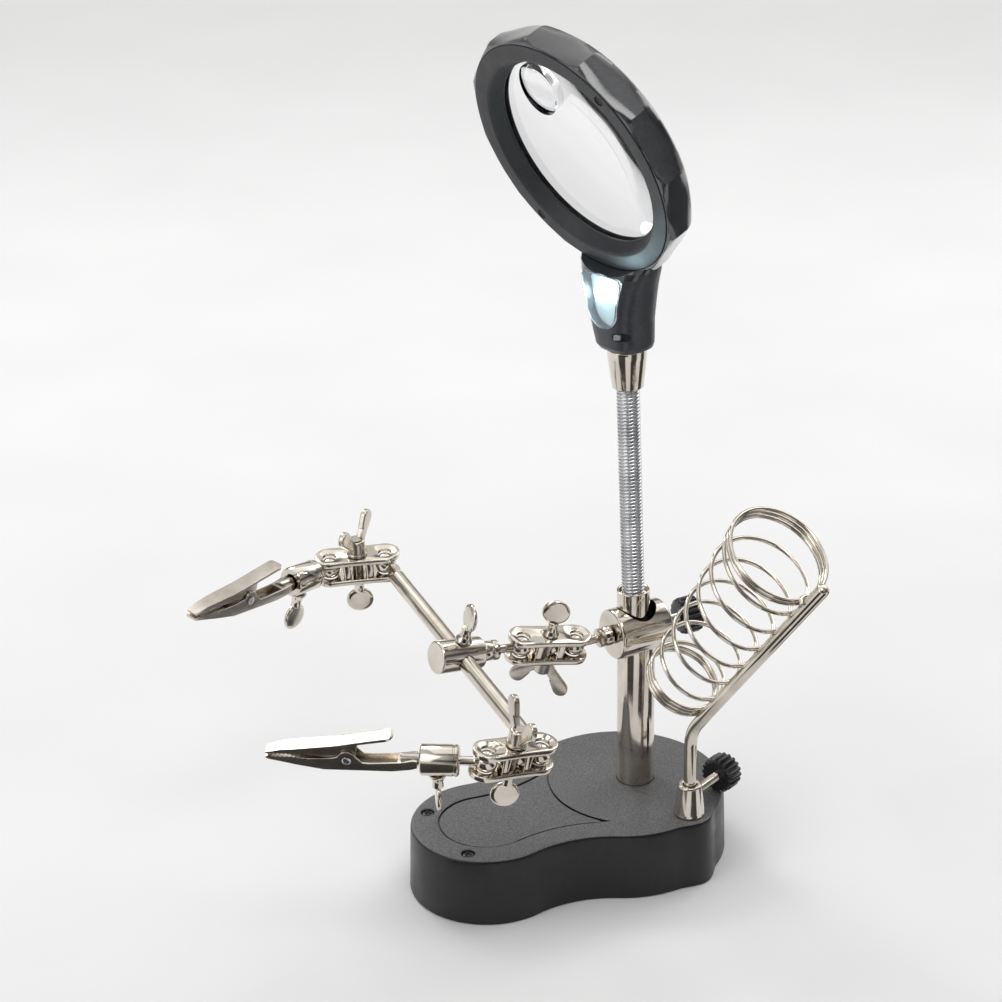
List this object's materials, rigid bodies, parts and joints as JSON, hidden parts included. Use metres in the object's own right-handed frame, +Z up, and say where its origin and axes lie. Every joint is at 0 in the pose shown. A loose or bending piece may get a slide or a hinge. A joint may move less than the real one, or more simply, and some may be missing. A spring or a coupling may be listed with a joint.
{
  "type": "helping hands magnifier",
  "caption": "Bench holder with a weighted base, a lit magnifying lens on a gooseneck, alligator clips on ball joints along a crossbar, and a coiled soldering iron rest.",
  "frame": {"origin": "on the floor plane under the base, at the middle of the base's length", "axes": "+X along the base towards the column, +Y to the back, +Z up"},
  "size_m": [0.2256, 0.1858, 0.3638],
  "materials": {
    "battery": "printed sleeve, plain",
    "black_plastic": "satin moulded black",
    "cast_iron": "rough",
    "clear_plastic": "clear moulded cover",
    "glass": "clear polished",
    "led_white": "white board with two lit lamps",
    "nickel": "warm bright nickel plate",
    "steel": "satin",
    "textured_black": "fine texture, dark grey to black"
  },
  "bodies": {
    "base": {"base_shell": "textured_black", "base_weight": "cast_iron", "battery_1": "battery", "battery_2": "battery", "battery_door": "black_plastic", "bottom_cover": "black_plastic", "column_tube": "nickel", "lower_ferrule": "nickel", "rest_socket": "nickel", "tray_screw_1": "steel", "tray_screw_2": "steel"},
    "collar": {"collar": "nickel"},
    "collar_knob": {"collar_knob": "black_plastic"},
    "collar_ball": {"collar_ball_stud": "nickel"},
    "clamp_c": {"clamp_c_upper_plate": "nickel", "clamp_c_lower_plate": "nickel", "clamp_c_screw": "nickel"},
    "clamp_c_nut": {"clamp_c_wing_nut": "nickel"},
    "clamp_a": {"clamp_a_upper_plate": "nickel", "clamp_a_lower_plate": "nickel", "clamp_a_screw": "nickel"},
    "clamp_a_nut": {"clamp_a_wing_nut": "nickel"},
    "clamp_b": {"clamp_b_upper_plate": "nickel", "clamp_b_lower_plate": "nickel", "clamp_b_screw": "nickel"},
    "clamp_b_nut": {"clamp_b_wing_nut": "nickel"},
    "barrel_stud": {"barrel_ball_stud": "nickel"},
    "barrel": {"barrel": "nickel"},
    "barrel_screw": {"barrel_thumbscrew": "nickel"},
    "crossbar": {"crossbar": "nickel"},
    "crossbar_ball_a": {"crossbar_ball_a": "nickel"},
    "clip_a_socket": {"clip_a_socket": "nickel"},
    "clip_a_screw": {"clip_a_thumbscrew": "nickel"},
    "clip_a": {"clip_a_lower_jaw": "nickel", "clip_a_pin": "steel", "clip_a_spring": "steel"},
    "clip_a_jaw": {"clip_a_upper_jaw": "nickel"},
    "crossbar_ball_b": {"crossbar_ball_b": "nickel"},
    "clip_b_socket": {"clip_b_socket": "nickel"},
    "clip_b_screw": {"clip_b_thumbscrew": "nickel"},
    "clip_b": {"clip_b_lower_jaw": "nickel", "clip_b_pin": "steel", "clip_b_spring": "steel"},
    "clip_b_jaw": {"clip_b_upper_jaw": "nickel"},
    "gooseneck_1": {"gooseneck_link_1": "steel"},
    "gooseneck_2": {"gooseneck_link_2": "steel"},
    "gooseneck_3": {"gooseneck_link_3": "steel"},
    "head": {"upper_ferrule": "nickel", "head_rear_shell": "black_plastic", "head_front_ring": "black_plastic", "head_screw_1": "steel", "head_screw_2": "steel", "main_lens": "glass", "inset_lens": "glass", "led_cover": "clear_plastic", "led_board": "led_white"},
    "switch": {"switch_slider": "black_plastic"},
    "rest_rod": {"rest_rod": "nickel", "rest_coil": "nickel"},
    "rest_knob": {"rest_knob": "black_plastic"}
  },
  "joints": [
    {"name": "collar_swivel", "type": "hinge", "parent": "base", "child": "collar", "pos_m": [0.034, 0, 0.1025], "axis": [0, 0, 1], "range_deg": [-25, 15]},
    {"name": "collar_knob_turn", "type": "hinge", "parent": "collar", "child": "collar_knob", "pos_m": [0.034, 0, 0.1025], "axis": [1, 0, 0], "range_deg": [-180, 180]},
    {"name": "collar_ball_spin", "type": "hinge", "parent": "collar", "child": "collar_ball", "pos_m": [0.0037, 0, 0.1025], "axis": [1, 0, 0], "range_deg": [-40, 30]},
    {"name": "clamp_c_swing", "type": "hinge", "parent": "collar_ball", "child": "clamp_c", "pos_m": [0.0037, 0, 0.1025], "axis": [0.0948, -0.2598, 0.961], "range_deg": [-25, 25]},
    {"name": "clamp_c_nut_turn", "type": "hinge", "parent": "clamp_c", "child": "clamp_c_nut", "pos_m": [-0.00775, 0.00202, 0.10418], "axis": [0.0948, -0.2598, 0.961], "range_deg": [-180, 180]},
    {"name": "barrel_stud_swing", "type": "hinge", "parent": "clamp_c", "child": "barrel_stud", "pos_m": [-0.01921, 0.00404, 0.10585], "axis": [0.0948, -0.2598, 0.961], "range_deg": [-30, 30]},
    {"name": "barrel_roll", "type": "hinge", "parent": "barrel_stud", "child": "barrel", "pos_m": [-0.01921, 0.00404, 0.10585], "axis": [-0.9847, -0.0689, 0.1599], "range_deg": [-45, 45]},
    {"name": "barrel_screw_turn", "type": "hinge", "parent": "barrel", "child": "barrel_screw", "pos_m": [-0.04875, 0.00197, 0.11065], "axis": [0.1715, -0.2254, 0.9591], "range_deg": [-180, 180]},
    {"name": "crossbar_slide", "type": "slide", "parent": "barrel", "child": "crossbar", "axis": [0.03, -0.9718, -0.2338], "range_m": [-0.04, 0.04]},
    {"name": "crossbar_ball_a_spin", "type": "hinge", "parent": "crossbar", "child": "crossbar_ball_a", "pos_m": [-0.05073, 0.06611, 0.12608], "axis": [0.03, -0.9718, -0.2338], "range_deg": [-75, 25]},
    {"name": "clamp_a_swing", "type": "hinge", "parent": "crossbar_ball_a", "child": "clamp_a", "pos_m": [-0.05073, 0.06611, 0.12608], "axis": [-0.0885, -0.1394, 0.9863], "range_deg": [-60, 40]},
    {"name": "clamp_a_nut_turn", "type": "hinge", "parent": "clamp_a", "child": "clamp_a_nut", "pos_m": [-0.06165, 0.07044, 0.12571], "axis": [-0.0885, -0.1394, 0.9863], "range_deg": [-180, 180]},
    {"name": "clip_a_swing", "type": "hinge", "parent": "clamp_a", "child": "clip_a_socket", "pos_m": [-0.07257, 0.07476, 0.12534], "axis": [0.0885, 0.1394, -0.9863], "range_deg": [-60, 70]},
    {"name": "clip_a_screw_turn", "type": "hinge", "parent": "clip_a_socket", "child": "clip_a_screw", "pos_m": [-0.08966, 0.06682, 0.12772], "axis": [0.1798, -0.0936, 0.9792], "range_deg": [-180, 180]},
    {"name": "clip_a_roll", "type": "hinge", "parent": "clip_a_socket", "child": "clip_a", "pos_m": [-0.07257, 0.07476, 0.12534], "axis": [-0.8999, -0.4177, 0.1253], "range_deg": [-180, 180]},
    {"name": "clip_a_jaw_open", "type": "hinge", "parent": "clip_a", "child": "clip_a_jaw", "pos_m": [-0.12053, 0.05232, 0.13303], "axis": [0.3973, -0.9037, -0.1594], "range_deg": [-24, 0], "stiffness_Nm_per_rad": 0.12, "springref_deg": 17.19},
    {"name": "crossbar_ball_b_spin", "type": "hinge", "parent": "crossbar", "child": "crossbar_ball_b", "pos_m": [-0.0468, -0.06119, 0.09545], "axis": [-0.03, 0.9718, 0.2338], "range_deg": [-60, 60]},
    {"name": "clamp_b_swing", "type": "hinge", "parent": "crossbar_ball_b", "child": "clamp_b", "pos_m": [-0.0468, -0.06119, 0.09545], "axis": [-0.1338, 0.1764, -0.9752], "range_deg": [-60, 28]},
    {"name": "clamp_b_nut_turn", "type": "hinge", "parent": "clamp_b", "child": "clamp_b_nut", "pos_m": [-0.05844, -0.06109, 0.09707], "axis": [0.1338, -0.1764, 0.9752], "range_deg": [-180, 180]},
    {"name": "clip_b_swing", "type": "hinge", "parent": "clamp_b", "child": "clip_b_socket", "pos_m": [-0.07007, -0.06099, 0.09868], "axis": [0.1338, -0.1764, 0.9752], "range_deg": [-70, 70]},
    {"name": "clip_b_screw_turn", "type": "hinge", "parent": "clip_b_socket", "child": "clip_b_screw", "pos_m": [-0.08617, -0.0509, 0.09891], "axis": [-0.0682, -0.1314, 0.989], "range_deg": [-180, 180]},
    {"name": "clip_b_roll", "type": "hinge", "parent": "clip_b_socket", "child": "clip_b", "pos_m": [-0.07007, -0.06099, 0.09868], "axis": [-0.8471, 0.5314, 0.0122], "range_deg": [-180, 180]},
    {"name": "clip_b_jaw_open", "type": "hinge", "parent": "clip_b", "child": "clip_b_jaw", "pos_m": [-0.11546, -0.0327, 0.10032], "axis": [-0.5271, -0.8369, -0.1476], "range_deg": [-24, 0], "stiffness_Nm_per_rad": 0.12, "springref_deg": 17.19},
    {"name": "gooseneck_bend_1", "type": "hinge", "parent": "base", "child": "gooseneck_1", "pos_m": [0.03244, 0.00083, 0.13236], "axis": [0.0002, 0.9999, -0.0139], "range_deg": [-22, 22]},
    {"name": "gooseneck_bend_2", "type": "hinge", "parent": "gooseneck_1", "child": "gooseneck_2", "pos_m": [0.03184, 0.00115, 0.1551], "axis": [0.9997, 0.0002, 0.0262], "range_deg": [-22, 22]},
    {"name": "gooseneck_bend_3", "type": "hinge", "parent": "gooseneck_2", "child": "gooseneck_3", "pos_m": [0.03124, 0.00146, 0.17784], "axis": [0.0002, 0.9999, -0.0139], "range_deg": [-22, 22]},
    {"name": "gooseneck_bend_4", "type": "hinge", "parent": "gooseneck_3", "child": "head", "pos_m": [0.03065, 0.00178, 0.20058], "axis": [0.9997, 0.0002, 0.0262], "range_deg": [-22, 22]},
    {"name": "switch_slide", "type": "slide", "parent": "head", "child": "switch", "axis": [0.7657, -0.6426, 0.029], "range_m": [0, 0.0032]},
    {"name": "rest_swivel", "type": "hinge", "parent": "base", "child": "rest_rod", "pos_m": [0.0386, -0.0367, 0], "axis": [0, 0, 1], "range_deg": [-20, 60]},
    {"name": "rest_knob_turn", "type": "hinge", "parent": "base", "child": "rest_knob", "pos_m": [0.0386, -0.0367, 0.0386], "axis": [0.9205, 0.3907, 0], "range_deg": [-180, 180]}
  ],
  "couplings": [
    {"joint": "gooseneck_bend_3", "follows": "gooseneck_bend_1", "ratio": 1},
    {"joint": "gooseneck_bend_4", "follows": "gooseneck_bend_2", "ratio": 1}
  ]
}
